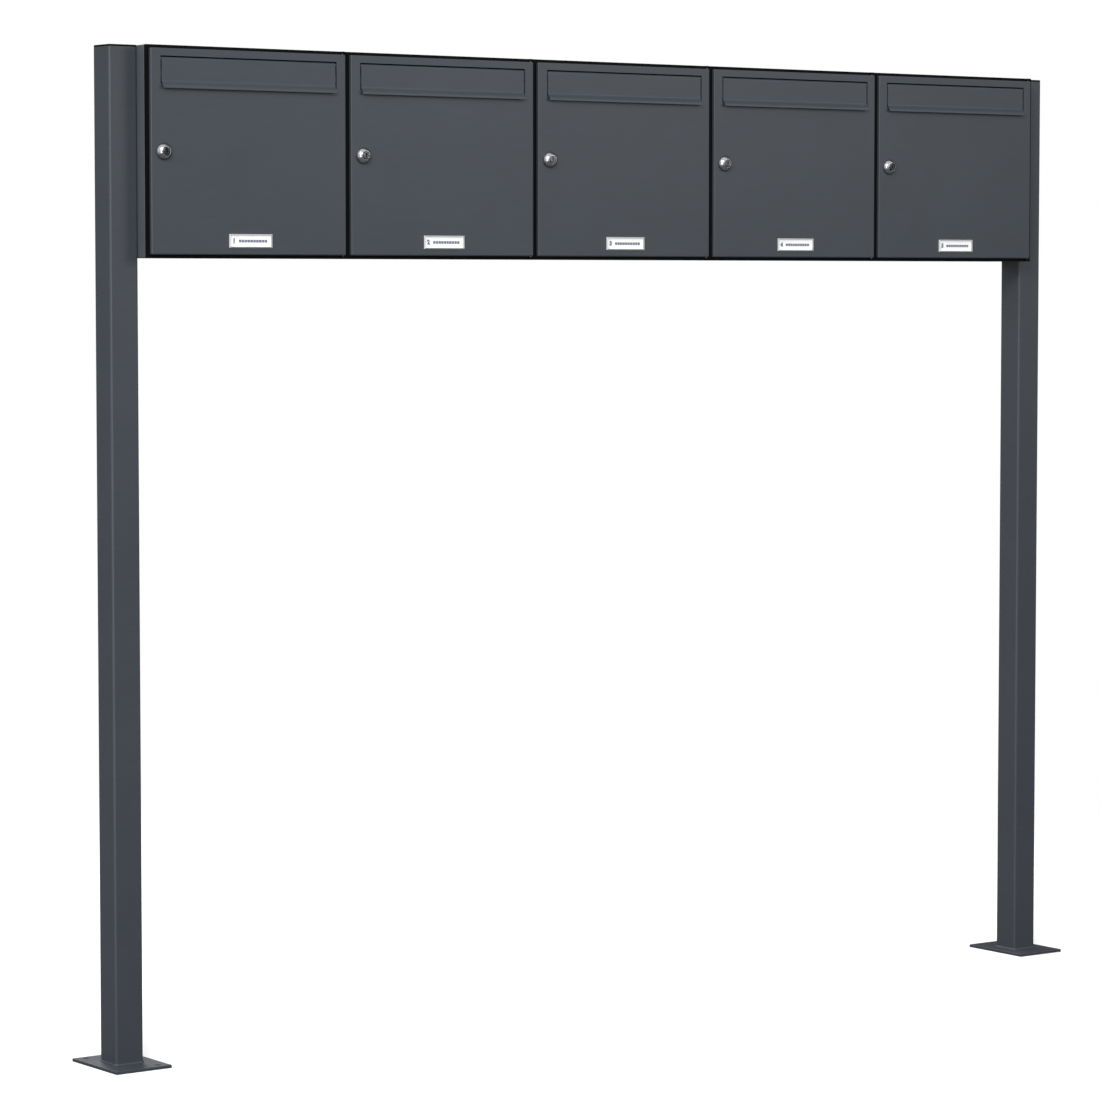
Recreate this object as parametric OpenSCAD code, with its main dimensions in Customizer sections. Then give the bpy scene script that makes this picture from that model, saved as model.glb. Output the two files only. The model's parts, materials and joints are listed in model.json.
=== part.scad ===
// Free-standing row of letterboxes between two square posts.
// Millimetres. X runs along the row, Y from the front to the back and Z up.
// The origin is on the ground, midway between the two posts.

/* [Row] */
// Number of letterboxes side by side
box_count = 5; // [1:1:5]
// Width of one letterbox
box_w = 370; // [350:5:420]
// Height of one letterbox
box_h = 330; // [300:5:400]
// Height of the unit, from the ground to the top of the boxes
unit_h = 1600; // [1200:10:1800]

/* [Casing] */
// Depth of a steel casing
casing_d = 100; // [90:5:160]
// Thickness of the casing sheet
casing_t = 1.2; // [1:0.1:1.5]
// Width of the casing's rim around its front opening
flange_w = 16; // [14:1:16]
// Distance from the posts' centre line forward to the casings' front
casing_front = 46; // [40:1:50]

/* [Front frame] */
// Width of the dark border around each door
border = 5; // [4:0.25:5]
// Distance from a door's face back to the casing's front
stand_off = 12; // [12:0.5:14]

/* [Door] */
// Thickness of the door and flap sheet
door_t = 1.5; // [1.2:0.1:1.5]
// Depth of the door's folded edges
door_edge = 9; // [6:0.5:9]

/* [Letter flap] */
// Width of the letter slot
slot_w = 325; // [250:5:325]
// Height of the letter slot
slot_h = 43; // [40:1:60]
// Distance from the top of the door down to the slot
slot_drop = 12; // [12:1:25]
// Distance that the flap's pull lip stands out
lip_out = 6; // [4:0.5:7]

/* [Lock] */
// Distance from the door's left edge to the lock's axis
lock_inset = 23; // [23:1:40]
// Diameter of the lock's domed collar
collar_d = 27; // [26:0.5:30]
// Distance that the collar stands out from the door
collar_out = 8.5; // [7:0.5:10]

/* [Name plate] */
// Width of the name plate
plate_w = 80; // [60:5:90]
// Height of the name plate
plate_h = 22; // [18:1:24]
// Height of the name plate's centre above the bottom of the box
plate_z = 27; // [26:1:40]

/* [Posts] */
// Outside width of the square posts
post_w = 50; // [40:1:50]
// Wall thickness of the posts
post_t = 2; // [1.5:0.5:3]
// Size of a foot plate along the row
foot_w = 100; // [90:5:120]
// Size of a foot plate from front to back
foot_d = 140; // [130:5:160]
// Thickness of a foot plate
foot_t = 5; // [4:1:8]
// Spacing of a foot plate's holes along the row
foot_hole_x = 64; // [60:1:70]
// Spacing of a foot plate's holes from front to back
foot_hole_y = 115; // [100:1:115]
// Diameter of a foot plate's holes
foot_hole_d = 9; // [8:0.5:11]

/* [Hidden] */
$fn = 48;

// Running clearance of a pin in its hole, and room for a fastener in its hole
run_gap = 0.08;
hole_gap = 0.25;
// Extra length of a cut, so that it passes through a face
past = 1;

// Row
row_w = box_count * box_w;
row_z = unit_h - box_h;
face_y = -casing_front - stand_off;

// Casing, whose panels stop a seam short of each other
seam = 0.05;
panel_in = casing_t + seam;
opening_w = box_w - 2 * flange_w;
opening_h = box_h - 2 * flange_w;

// Front frame: a rim that shows around the door, a floor on the casing and a lip through its opening
rim_y = 5.5;
rim_w = border - 0.6;
hinge_rim_w = 2;
floor_y = stand_off - 2.5;
lip_w = 1.7;
lip_gap = 0.3;
lip_past = 2.2;
frame_in = flange_w + lip_gap + lip_w;

// Door
door_w = box_w - 2 * border;
door_h = box_h - 2 * border;
bend_r = 2.2;
hinge_side_edge = 5;

// Door hinge: pins in lugs of the frame, above and below ears of the door
hinge_x = box_w - border - 4;
hinge_y = 4;
pin_r = 1.5;
pin_head_r = 2.6;
pin_head_t = 0.8;
pin_reach = 6;
ear_r = 3.2;
ear_h = 7;

// Letter flap
flap_gap = 2.2;
flap_w = slot_w - 2 * flap_gap;
rod_r = 1.3;
rod_end_r = 1.65;
rod_end_t = 1;
barrel_r = 3.25;
slot_z = box_h - border - slot_drop - slot_h;
flap_axis_y = barrel_r;
barrel_gap = 1.6;
flap_axis_z = slot_z + slot_h - barrel_r - barrel_gap;
lip_bend = 55;
lip_r = lip_out / (2 * (1 - cos(lip_bend)));
lip_h = 2 * lip_r * sin(lip_bend);
lip_tail = 1;
lip_steps = 8;
// The lip starts to bend out just high enough above the slot's lower edge to swing past it
lip_play = 0.5;
lip_start = sqrt(pow(lip_r + door_t / 2 + lip_play, 2) - pow(lip_r - door_t / 2, 2));
flap_flat = flap_axis_z - slot_z - lip_start;

// Cheeks inside the door, which hold the flap's rod and stop the flap
cheek_t = 1.5;
cheek_d = 6;
cheek_x = (box_w - slot_w) / 2 - cheek_t - 0.5;
cheek_z = slot_z - 4;
cheek_h = slot_h + 6;
stop_w = 6;
stop_h = 8;
stop_gap = 0.3;

// Lock
lock_x = border + lock_inset;
lock_z = box_h / 2;
collar_edge = 1.2;
nose_r = 7.4;
dome_drop = (pow(collar_d / 2, 2) - pow(nose_r, 2) + pow(collar_edge, 2) - pow(collar_out, 2))
    / (2 * (collar_out - collar_edge));
dome_r = sqrt(pow(collar_d / 2, 2) + pow(collar_edge + dome_drop, 2));
plug_r = 6;
plug_head_r = 6.7;
plug_head_t = 2;
plug_proud = 0.8;
keyway_w = 1.8;
keyway_h = 8.4;
keyway_depth = 10;
barrel_thread_r = 9.4;
barrel_flats = 16.6;
barrel_end = stand_off + 3.6;
lock_nut_af = 24;
lock_nut_t = 4;
cam_y = barrel_end + 0.2;
cam_t = 2.5;
cam_w = 16;
cam_reach = 23;
tail_w = 8;
cam_screw_r = 2.2;
cam_screw_head_r = 5;
cam_screw_head_t = 2.5;
cam_screw_in = 8;
screw_play = 0.05;

// Name plate
plate_out = 3.2;
plate_edge = 1;
plate_bevel = 2;
card_margin = 1.6;
card_pocket = 1.1;
card_t = 0.5;
card_gap = 0.3;

// Posts
post_r = 4;
post_x = row_w / 2 + post_w / 2;
cap_t = 3;
cap_in = 15;
cap_wall = 1.8;
cap_gap = 0.15;

// Fasteners: bolts into the posts, and screws from casing to casing
bolt_r = 3;
bolt_head_af = 10;
bolt_head_t = 4;
bolt_rows = 4;
bolt_edge = 45;
weld_nut_t = 5;
screw_r = 2.5;
screw_head_r = 4.75;
screw_head_t = 3;
nut_af = 8;
nut_t = 4;
thread_past = 1.5;
screw_edge_y = 20;
screw_edge_z = 25;

// Colours
anthracite = [0.25, 0.27, 0.29];
edge_black = [0.05, 0.05, 0.05];
chrome = [0.78, 0.78, 0.80];
zinc = [0.66, 0.67, 0.68];
clear_plastic = [0.85, 0.88, 0.90, 0.5];
card_white = [0.95, 0.95, 0.94];

function numbered(name) = [for (i = [1 : box_count]) str(name, "_", i)];

// ---- Places ----

// Moves to the lower left front corner of box i, with Y = 0 on its door's face
module at_box(i) {
    translate([(i - 1) * box_w - row_w / 2, face_y, row_z]) children();
}

// Turns a shape that stands on Z so that it points out of the door, at the lock's axis
module at_lock() {
    translate([lock_x, 0, lock_z]) rotate([90, 0, 0]) children();
}

// Repeats a shape at both ends of the door's hinge line, the upper one as drawn
module at_hinge_ends() {
    translate([hinge_x, hinge_y, box_h]) children();
    translate([hinge_x, hinge_y, 0]) mirror([0, 0, 1]) children();
}

// Repeats a shape at the screws through a casing's side
module at_side_screws() {
    for (y = [stand_off + screw_edge_y, stand_off + casing_d - screw_edge_y])
        for (z = [screw_edge_z, box_h - screw_edge_z])
            translate([0, y, z]) rotate([0, 90, 0]) children();
}

// Repeats a shape at the bolts from a casing's side into a post
module at_post_bolts() {
    for (k = [0 : bolt_rows - 1])
        translate([0, -face_y, bolt_edge + k * (box_h - 2 * bolt_edge) / (bolt_rows - 1)])
            rotate([0, 90, 0]) children();
}

// Repeats a shape at both ends of the row, pointing along +X out of the boxes
module at_row_ends() {
    translate([row_w / 2, face_y, row_z]) children();
    mirror([1, 0, 0]) translate([row_w / 2, face_y, row_z]) children();
}

// ---- Shared shapes ----

// Square with round corners, centred
module round_square(w, r) {
    square([w, w - 2 * r], center = true);
    square([w - 2 * r, w], center = true);
    for (x = [-1, 1])
        for (y = [-1, 1])
            translate([x * (w / 2 - r), y * (w / 2 - r)]) circle(r);
}

// Outline of a folded tray: w wide, d deep, with two round front corners
module tray_outline(w, d, r) {
    translate([0, r]) square([w, d - r]);
    translate([r, 0]) square([w - 2 * r, r + 0.01]);
    for (x = [r, w - r])
        translate([x, r]) circle(r);
}

// Solid tray with round front edges, w wide, d deep and h tall
module tray(w, d, h, r) {
    intersection() {
        linear_extrude(h) tray_outline(w, d, r);
        rotate([90, 0, 90]) linear_extrude(w) mirror([1, -1]) tray_outline(h, d, r);
    }
}

// Shaft with two flats
module flatted_shaft(r, flats, length) {
    intersection() {
        cylinder(r = r, h = length);
        translate([-flats / 2, -r, 0]) cube([flats, 2 * r, length]);
    }
}

// Hexagon nut, flat on Z = 0
module hex_nut(af, t, bore_r) {
    difference() {
        cylinder(r = af / sqrt(3), h = t, $fn = 6);
        translate([0, 0, -past]) cylinder(r = bore_r, h = t + 2 * past);
    }
}

// ---- Posts ----

module post(side) {
    color(anthracite)
    difference() {
        translate([side * post_x, 0, foot_t]) linear_extrude(unit_h - foot_t - cap_t) difference() {
            round_square(post_w, post_r);
            round_square(post_w - 2 * post_t, post_r - post_t + 0.5);
        }
        scale([side, 1, 1]) translate([row_w / 2, face_y, row_z]) at_post_bolts()
            translate([0, 0, -past]) cylinder(r = bolt_r + hole_gap, h = post_t + 2 * past);
    }
}

module post_left() { post(-1); }

module post_right() { post(1); }

module foot_plate(side) {
    color(anthracite)
    translate([side * post_x, 0, 0]) difference() {
        translate([-foot_w / 2, -foot_d / 2, 0]) cube([foot_w, foot_d, foot_t]);
        for (x = [-1, 1])
            for (y = [-1, 1])
                translate([x * foot_hole_x / 2, y * foot_hole_y / 2, -past])
                    cylinder(d = foot_hole_d, h = foot_t + 2 * past);
    }
}

module foot_plate_left() { foot_plate(-1); }

module foot_plate_right() { foot_plate(1); }

module post_caps() {
    plug_w = post_w - 2 * post_t - 2 * cap_gap;
    color(edge_black)
    for (side = [-1, 1])
        translate([side * post_x, 0, unit_h - cap_t]) {
            linear_extrude(cap_t) round_square(post_w, post_r);
            translate([0, 0, -cap_in]) linear_extrude(cap_in + 0.01) difference() {
                round_square(plug_w, post_r - post_t + 0.5);
                square(plug_w - 2 * cap_wall, center = true);
            }
        }
}

// ---- Casings ----

// Steel box of flat panels that meet at its edges, with a rim around its open front
module casing(i) {
    color(anthracite)
    at_box(i) translate([0, stand_off, 0]) {
        difference() {
            cube([box_w, casing_t, box_h]);
            translate([flange_w, -past, flange_w]) cube([opening_w, casing_t + 2 * past, opening_h]);
        }
        translate([0, casing_d - casing_t, 0]) cube([box_w, casing_t, box_h]);
        for (z = [0, box_h - casing_t])
            translate([panel_in, panel_in, z]) cube([box_w - 2 * panel_in, casing_d - 2 * panel_in, casing_t]);
    }
    color(anthracite)
    at_box(i) {
        casing_side(i == 1);
        translate([box_w - casing_t, 0, 0]) casing_side(i == box_count);
    }
}

// Side panel, with holes for bolts where it meets a post, or else for joining screws
module casing_side(at_post) {
    depth = casing_t + 2 * past;
    difference() {
        translate([0, stand_off + panel_in, 0]) cube([casing_t, casing_d - 2 * panel_in, box_h]);
        if (at_post)
            translate([-past, 0, 0]) at_post_bolts() cylinder(r = bolt_r + hole_gap, h = depth);
        else
            translate([-past, 0, 0]) at_side_screws() cylinder(r = screw_r + hole_gap, h = depth);
    }
}

// Dark moulded surround on the casing's front edge, with the lugs that carry the door's pins
module front_frame(i) {
    inner_w = box_w - 2 * frame_in;
    inner_h = box_h - 2 * frame_in;
    color(edge_black)
    at_box(i) difference() {
        union() {
            frame_ring(floor_y, stand_off - floor_y, 0, frame_in, frame_in);
            frame_ring(rim_y, stand_off - rim_y, 0, rim_w, hinge_rim_w);
            frame_ring(floor_y, stand_off - floor_y + lip_past, flange_w + lip_gap, frame_in, frame_in);
            at_hinge_ends() translate([0, 0, -rim_w]) {
                cylinder(r = ear_r, h = rim_w);
                translate([-ear_r, 0, 0]) cube([2 * ear_r, rim_y - hinge_y + past, rim_w]);
            }
        }
        at_hinge_ends() {
            translate([0, 0, -rim_w - past]) cylinder(r = pin_r + 0.02, h = rim_w + 2 * past);
            translate([0, 0, -pin_head_t]) cylinder(r = pin_head_r + 0.05, h = pin_head_t + past);
        }
    }
}

// Rectangular ring of the frame, from one inset to another, with its own width on the hinge side
module frame_ring(y, depth, outer, inner, inner_hinge) {
    translate([0, y, 0]) difference() {
        translate([outer, 0, outer]) cube([box_w - 2 * outer, depth, box_h - 2 * outer]);
        translate([inner, -past, inner]) cube([box_w - inner - inner_hinge, depth + 2 * past, box_h - 2 * inner]);
    }
}

module hinge_pins() {
    color(zinc)
    for (i = [1 : box_count])
        at_box(i) at_hinge_ends() {
            translate([0, 0, -rim_w - pin_reach]) cylinder(r = pin_r, h = rim_w + pin_reach);
            translate([0, 0, -pin_head_t]) cylinder(r = pin_head_r, h = pin_head_t);
        }
}

// ---- Fasteners ----

// Hexagon bolts from inside the end casings, through the posts' walls
module post_bolts() {
    shank = casing_t + post_t + weld_nut_t + thread_past;
    color(zinc)
    at_row_ends() at_post_bolts() {
        translate([0, 0, -casing_t - bolt_head_t / 2]) cylinder(r = bolt_r, h = bolt_head_t / 2 + shank);
        translate([0, 0, -casing_t - bolt_head_t])
            cylinder(r = bolt_head_af / sqrt(3), h = bolt_head_t, $fn = 6);
    }
}

module weld_nuts() {
    color(zinc)
    at_row_ends() at_post_bolts()
        translate([0, 0, post_t]) hex_nut(bolt_head_af, weld_nut_t, bolt_r + 0.02);
}

module at_joints() {
    for (i = [2 : 1 : box_count])
        at_box(i) at_side_screws() children();
}

module joining_screws() {
    shank = 2 * casing_t + nut_t + thread_past;
    color(zinc)
    at_joints() {
        translate([0, 0, -casing_t - screw_head_t / 2]) cylinder(r = screw_r, h = screw_head_t / 2 + shank);
        translate([0, 0, -casing_t - screw_head_t]) cylinder(r = screw_head_r, h = screw_head_t);
    }
}

module joining_nuts() {
    color(zinc)
    at_joints()
        translate([0, 0, casing_t]) hex_nut(nut_af, nut_t, screw_r + 0.02);
}

// ---- Doors ----

// Folded steel door with its hinge ears and the cheeks that carry the letter flap
module door(i) {
    color(anthracite)
    at_box(i) difference() {
        union() {
            door_pan();
            at_hinge_ends() translate([0, 0, -border - ear_h]) cylinder(r = ear_r, h = ear_h);
            flap_cheek();
            translate([box_w, 0, 0]) mirror([1, 0, 0]) flap_cheek();
        }
        at_hinge_ends() translate([0, 0, -border - ear_h - past])
            cylinder(r = pin_r + run_gap, h = ear_h + 2 * past);
        translate([0, -past, 0]) {
            translate([(box_w - slot_w) / 2, 0, slot_z]) cube([slot_w, door_t + past + 0.01, slot_h]);
            translate([lock_x, 0, lock_z]) rotate([-90, 0, 0])
                flatted_shaft(barrel_thread_r + 0.1, barrel_flats + 0.2, door_t + 2 * past);
        }
        translate([cheek_x - past, flap_axis_y, flap_axis_z]) rotate([0, 90, 0])
            cylinder(r = rod_r + 0.02, h = box_w - 2 * cheek_x + 2 * past);
    }
}

// The folded sheet itself, cut back on the hinge side so that it can swing
module door_pan() {
    difference() {
        translate([border, 0, border]) tray(door_w, door_edge, door_h, bend_r);
        translate([border + door_t, door_t, border + door_t])
            tray(door_w - 2 * door_t, door_edge, door_h - 2 * door_t, bend_r - door_t);
        translate([hinge_x - 1, hinge_side_edge, 0]) cube([box_w, door_edge, box_h]);
    }
}

module flap_cheek() {
    translate([cheek_x, door_t - 0.01, cheek_z]) cube([cheek_t, cheek_d + 0.01, cheek_h]);
    translate([cheek_x, door_t + stop_gap, slot_z + lip_h])
        cube([cheek_t + 0.5 + stop_w, door_t, stop_h]);
}

// ---- Letter flaps ----

// Points of an arc about c, between two angles
function arc(c, r, from, to) = [
    for (k = [0 : lip_steps])
        let (a = from + (to - from) * k / lip_steps)
        c + r * [cos(a), sin(a)]
];

// Section of the flap, about its axis: the rolled barrel, the flat sheet and the lip's two bends
module flap_profile() {
    out_r = lip_r + door_t / 2;
    in_r = lip_r - door_t / 2;
    turn_1 = [door_t / 2 - barrel_r - lip_r, -flap_flat];
    turn_2 = turn_1 + 2 * lip_r * [cos(lip_bend), -sin(lip_bend)];
    tail = turn_2 - [0, lip_tail];
    difference() {
        union() {
            circle(barrel_r);
            polygon(concat(
                [[-barrel_r, 0]],
                arc(turn_1, in_r, 0, -lip_bend),
                arc(turn_2, out_r, 180 - lip_bend, 180),
                [tail - [out_r, 0], tail - [in_r, 0]],
                arc(turn_2, in_r, 180, 180 - lip_bend),
                arc(turn_1, out_r, -lip_bend, 0),
                [[door_t - barrel_r, 0]]
            ));
        }
        circle(rod_r + run_gap);
    }
}

// Letter flap: rolled round its rod at the top, with a lip to pull at the bottom
module flap(i) {
    color(anthracite)
    at_box(i) translate([(box_w - flap_w) / 2, flap_axis_y, flap_axis_z])
        rotate([90, 0, 90]) linear_extrude(flap_w) flap_profile();
}

module flap_rod(i) {
    rod_x = cheek_x - rod_end_t;
    color(zinc)
    at_box(i) translate([0, flap_axis_y, flap_axis_z]) rotate([0, 90, 0]) {
        translate([0, 0, cheek_x]) cylinder(r = rod_r, h = box_w - 2 * cheek_x);
        for (x = [rod_x, box_w - cheek_x])
            translate([0, 0, x]) cylinder(r = rod_end_r, h = rod_end_t);
    }
}

// ---- Locks ----

// Domed collar and threaded barrel in one piece, and the nut behind the door
module lock_body(i) {
    color(chrome)
    at_box(i) {
        difference() {
            union() {
                at_lock() rotate_extrude() intersection() {
                    translate([0, -dome_drop]) circle(dome_r, $fn = 96);
                    square([collar_d / 2, collar_out]);
                }
                at_lock() translate([0, 0, -barrel_end])
                    flatted_shaft(barrel_thread_r, barrel_flats, barrel_end + 0.01);
            }
            at_lock() translate([0, 0, -barrel_end - past])
                cylinder(r = plug_r + run_gap, h = barrel_end + collar_out + 2 * past);
            at_lock() translate([0, 0, collar_out - plug_head_t + plug_proud - 0.05])
                cylinder(r = plug_head_r + 0.15, h = plug_head_t);
        }
        at_lock() translate([0, 0, -door_t - lock_nut_t])
            hex_nut(lock_nut_af, lock_nut_t, barrel_thread_r + 0.05);
    }
}

// Turning plug with its keyway in front and a square tail behind
module lock_plug(i) {
    face = collar_out + plug_proud;
    color(chrome)
    at_box(i) at_lock() difference() {
        union() {
            translate([0, 0, face - plug_head_t]) cylinder(r = plug_head_r, h = plug_head_t);
            translate([0, 0, -barrel_end]) cylinder(r = plug_r, h = barrel_end + face - plug_head_t + 0.01);
            translate([-tail_w / 2, -tail_w / 2, -cam_y - cam_t + screw_play])
                cube([tail_w, tail_w, cam_t + 1]);
        }
        translate([-keyway_w / 2, -keyway_h / 2, face - keyway_depth])
            cube([keyway_w, keyway_h, keyway_depth + past]);
        translate([0, 0, -cam_y - cam_t - past]) cylinder(r = cam_screw_r + 0.02, h = cam_screw_in + past);
    }
}

// Cam that turns behind the casing's edge, and the screw that holds it. It hangs down when unlocked
module lock_cam(i) {
    color(zinc)
    at_box(i) at_lock() translate([0, 0, -cam_y - cam_t]) {
        difference() {
            union() {
                cylinder(d = cam_w, h = cam_t);
                translate([-cam_w / 2, cam_w / 2 - cam_reach, 0]) cube([cam_w, cam_reach - cam_w / 2, cam_t]);
                translate([0, cam_w / 2 - cam_reach, 0]) cylinder(d = cam_w, h = cam_t);
            }
            translate([0, 0, cam_t / 2]) cube([tail_w + 0.1, tail_w + 0.1, cam_t + past], center = true);
        }
        translate([0, 0, -screw_play - 0.1]) cylinder(r = cam_screw_r, h = cam_screw_in - past);
        translate([0, 0, -cam_screw_head_t - screw_play]) cylinder(r = cam_screw_head_r, h = cam_screw_head_t);
    }
}

// ---- Name plates ----

// Clear bevelled cover, bonded to the door by its rim
module name_holder(i) {
    pocket = [plate_w - 2 * card_margin, plate_h - 2 * card_margin];
    color(clear_plastic)
    at_box(i) translate([box_w / 2, 0, plate_z]) rotate([90, 0, 0]) difference() {
        hull() {
            translate([-plate_w / 2, -plate_h / 2, 0]) cube([plate_w, plate_h, plate_edge]);
            translate([plate_bevel - plate_w / 2, plate_bevel - plate_h / 2, 0])
                cube([plate_w - 2 * plate_bevel, plate_h - 2 * plate_bevel, plate_out]);
        }
        translate([-pocket.x / 2, -pocket.y / 2, -past]) cube([pocket.x, pocket.y, card_pocket + past]);
    }
}

// Card between the cover and the door
module name_card(i) {
    card_w = plate_w - 2 * card_margin - 2 * card_gap;
    card_h = plate_h - 2 * card_margin - 2 * card_gap;
    color(card_white)
    at_box(i) translate([box_w / 2 - card_w / 2, -card_t, plate_z - card_h / 2])
        cube([card_w, card_t, card_h]);
}

// ---- What is drawn ----

post_left();
post_right();
foot_plate_left();
foot_plate_right();
post_caps();
hinge_pins();
post_bolts();
weld_nuts();
joining_screws();
joining_nuts();
for (i = [1 : box_count]) {
    casing(i);
    front_frame(i);
    door(i);
    flap_rod(i);
    lock_body(i);
    name_holder(i);
    name_card(i);
    flap(i);
    lock_plug(i);
    lock_cam(i);
}
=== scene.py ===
"""Looks of a free-standing row of letterboxes between two posts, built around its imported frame."""

import json
from math import acos, cos, pi, radians, sin, sqrt, tau

import bmesh
import bpy
from mathutils import Matrix, Vector


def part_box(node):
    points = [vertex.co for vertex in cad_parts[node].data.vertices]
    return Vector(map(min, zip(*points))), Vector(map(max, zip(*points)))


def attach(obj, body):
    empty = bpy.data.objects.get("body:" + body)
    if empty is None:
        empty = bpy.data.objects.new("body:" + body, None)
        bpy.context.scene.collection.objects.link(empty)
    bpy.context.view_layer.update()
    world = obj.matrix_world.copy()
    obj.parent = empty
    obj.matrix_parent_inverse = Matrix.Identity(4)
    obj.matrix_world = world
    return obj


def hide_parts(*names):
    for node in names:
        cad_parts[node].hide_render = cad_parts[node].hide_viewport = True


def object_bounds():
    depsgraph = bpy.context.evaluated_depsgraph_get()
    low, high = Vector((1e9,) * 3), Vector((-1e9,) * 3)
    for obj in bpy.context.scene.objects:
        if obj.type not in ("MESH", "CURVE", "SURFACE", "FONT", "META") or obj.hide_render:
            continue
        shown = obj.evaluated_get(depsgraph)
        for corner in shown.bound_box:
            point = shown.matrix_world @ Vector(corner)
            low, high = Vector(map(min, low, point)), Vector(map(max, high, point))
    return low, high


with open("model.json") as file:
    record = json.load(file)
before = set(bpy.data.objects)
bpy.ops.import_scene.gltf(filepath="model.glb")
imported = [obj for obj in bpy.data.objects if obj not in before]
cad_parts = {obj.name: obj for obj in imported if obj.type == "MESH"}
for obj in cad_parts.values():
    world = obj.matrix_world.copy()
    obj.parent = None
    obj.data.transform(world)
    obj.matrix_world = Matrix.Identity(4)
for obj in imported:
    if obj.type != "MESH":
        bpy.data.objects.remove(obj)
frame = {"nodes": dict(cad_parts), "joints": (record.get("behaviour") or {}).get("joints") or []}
cad_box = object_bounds()

MM = 0.001
nodes = frame["nodes"]
joints = {joint["name"]: joint for joint in frame["joints"]}
boxes = range(1, 1 + sum(name.startswith("casing_") for name in nodes))

# Sheet and plastic
DOOR_SHEET = 1.5 * MM
DOOR_BEND_R = 2.2 * MM
CASING_SHEET = 1.2 * MM
CASING_BEND_R = 1.8 * MM
FLANGE_W = 16 * MM
RIM_W = 4.4 * MM
HINGE_RIM_W = 2 * MM
LIP_W = 1.7 * MM

# Letter slot and flap
SLOT_W = 325 * MM
SLOT_H = 43 * MM
SLOT_DROP = 12 * MM
BARREL_R = 3.25 * MM
ROD_R = 1.3 * MM
LIP_OUT = 6 * MM
LIP_TURN = radians(55)
LIP_TAIL = 1 * MM

# Lock
COLLAR_R = 13.5 * MM
COLLAR_EDGE = 1.2 * MM
COLLAR_OUT = 8.5 * MM
NOSE_R = 7.4 * MM
PLUG_R = 6 * MM
PLUG_HEAD_R = 6.7 * MM
PLUG_HEAD_T = 2 * MM
PLUG_PROUD = 0.8 * MM
BARREL_THREAD_R = 9.4 * MM
BARREL_FLATS = 16.6 * MM

# Fasteners
BOLT_R = 3 * MM
SCREW_R = 2.5 * MM
HOLE_GAP = 0.25 * MM
PAST = 1 * MM


# ---- Materials ----

def paint(hex_code):
    """An sRGB hex colour as linear RGBA."""
    parts = [int(hex_code[k:k + 2], 16) / 255 for k in (1, 3, 5)]
    return [p / 12.92 if p <= 0.04045 else ((p + 0.055) / 1.055) ** 2.4 for p in parts] + [1]


def add(tree, kind, inputs=None, **settings):
    """Adds a node. Each input takes a constant, or the socket that feeds it."""
    node = tree.nodes.new(kind)
    for name, value in settings.items():
        setattr(node, name, value)
    for name, value in (inputs or {}).items():
        if isinstance(value, bpy.types.NodeSocket):
            tree.links.new(value, node.inputs[name])
        else:
            node.inputs[name].default_value = value
    return node


def new_material(name):
    """An empty material and its node tree, with Object coordinates ready to use."""
    material = bpy.data.materials.new(name)
    material.use_nodes = True
    tree = material.node_tree
    tree.nodes.clear()
    place = add(tree, "ShaderNodeTexCoord").outputs["Object"]
    return material, tree, place


def finish_material(tree, shader):
    add(tree, "ShaderNodeOutputMaterial", {"Surface": shader.outputs["BSDF"]})


def powder_coat(name, upper, lower, low_z, high_z):
    """Fine-textured polyester powder coat, baked on steel: a matt, slightly mottled grey with a
    soft sheen. Its colour goes from lower at low_z to upper at high_z, a painted shading for how the light falls along
    a part's height."""
    material, tree, place = new_material(name)
    # The real grit is about 0.4 mm, drawn three times as coarse so that it shows.
    grit = add(tree, "ShaderNodeTexNoise", {"Vector": place, "Scale": 1 / (1.3 * MM), "Detail": 3.0,
                                            "Roughness": 0.6})
    # Drawn sheet keeps a faint lengthwise grain under its coat, 4 mm high and 60 mm long.
    stretched = add(tree, "ShaderNodeMapping", {"Vector": place, "Scale": (1 / 60, 1 / 12, 1 / 4)})
    grain = add(tree, "ShaderNodeTexNoise", {"Vector": stretched.outputs["Vector"], "Scale": 1 / MM,
                                             "Detail": 2.0})
    cloud = add(tree, "ShaderNodeTexNoise", {"Vector": place, "Scale": 1 / (140 * MM), "Detail": 2.0})
    height = add(tree, "ShaderNodeSeparateXYZ", {"Vector": place})
    rise = add(tree, "ShaderNodeMapRange", {"Value": height.outputs["Z"], "From Min": low_z,
                                            "From Max": high_z}, interpolation_type="SMOOTHSTEP")
    base = add(tree, "ShaderNodeMix", {"Factor": rise.outputs["Result"], "A": paint(lower), "B": paint(upper)},
               data_type="RGBA")
    mottle = add(tree, "ShaderNodeMath", {0: cloud.outputs["Fac"], 1: grain.outputs["Fac"]}, operation="ADD")
    shade = add(tree, "ShaderNodeMapRange", {"Value": mottle.outputs["Value"], "From Min": 0.7, "From Max": 1.3,
                                             "To Min": 0.94, "To Max": 1.06})
    speck = add(tree, "ShaderNodeMapRange", {"Value": grit.outputs["Fac"], "From Min": 0.35, "From Max": 0.65,
                                             "To Min": 0.96, "To Max": 1.04})
    tone = add(tree, "ShaderNodeMath", {0: shade.outputs["Result"], 1: speck.outputs["Result"]},
               operation="MULTIPLY")
    colour = add(tree, "ShaderNodeVectorMath", {0: base.outputs["Result"]}, operation="SCALE")
    tree.links.new(tone.outputs["Value"], colour.inputs["Scale"])
    roughness = add(tree, "ShaderNodeMapRange", {"Value": grit.outputs["Fac"], "From Min": 0.3, "From Max": 0.7,
                                                 "To Min": 0.4, "To Max": 0.54})
    bump = add(tree, "ShaderNodeBump", {"Height": grit.outputs["Fac"], "Strength": 0.35,
                                        "Distance": 0.12 * MM})
    shader = add(tree, "ShaderNodeBsdfPrincipled", {
        "Base Color": colour.outputs["Vector"], "Roughness": roughness.outputs["Result"], "IOR": 1.5,
        "Normal": bump.outputs["Normal"]})
    finish_material(tree, shader)
    return material


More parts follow.
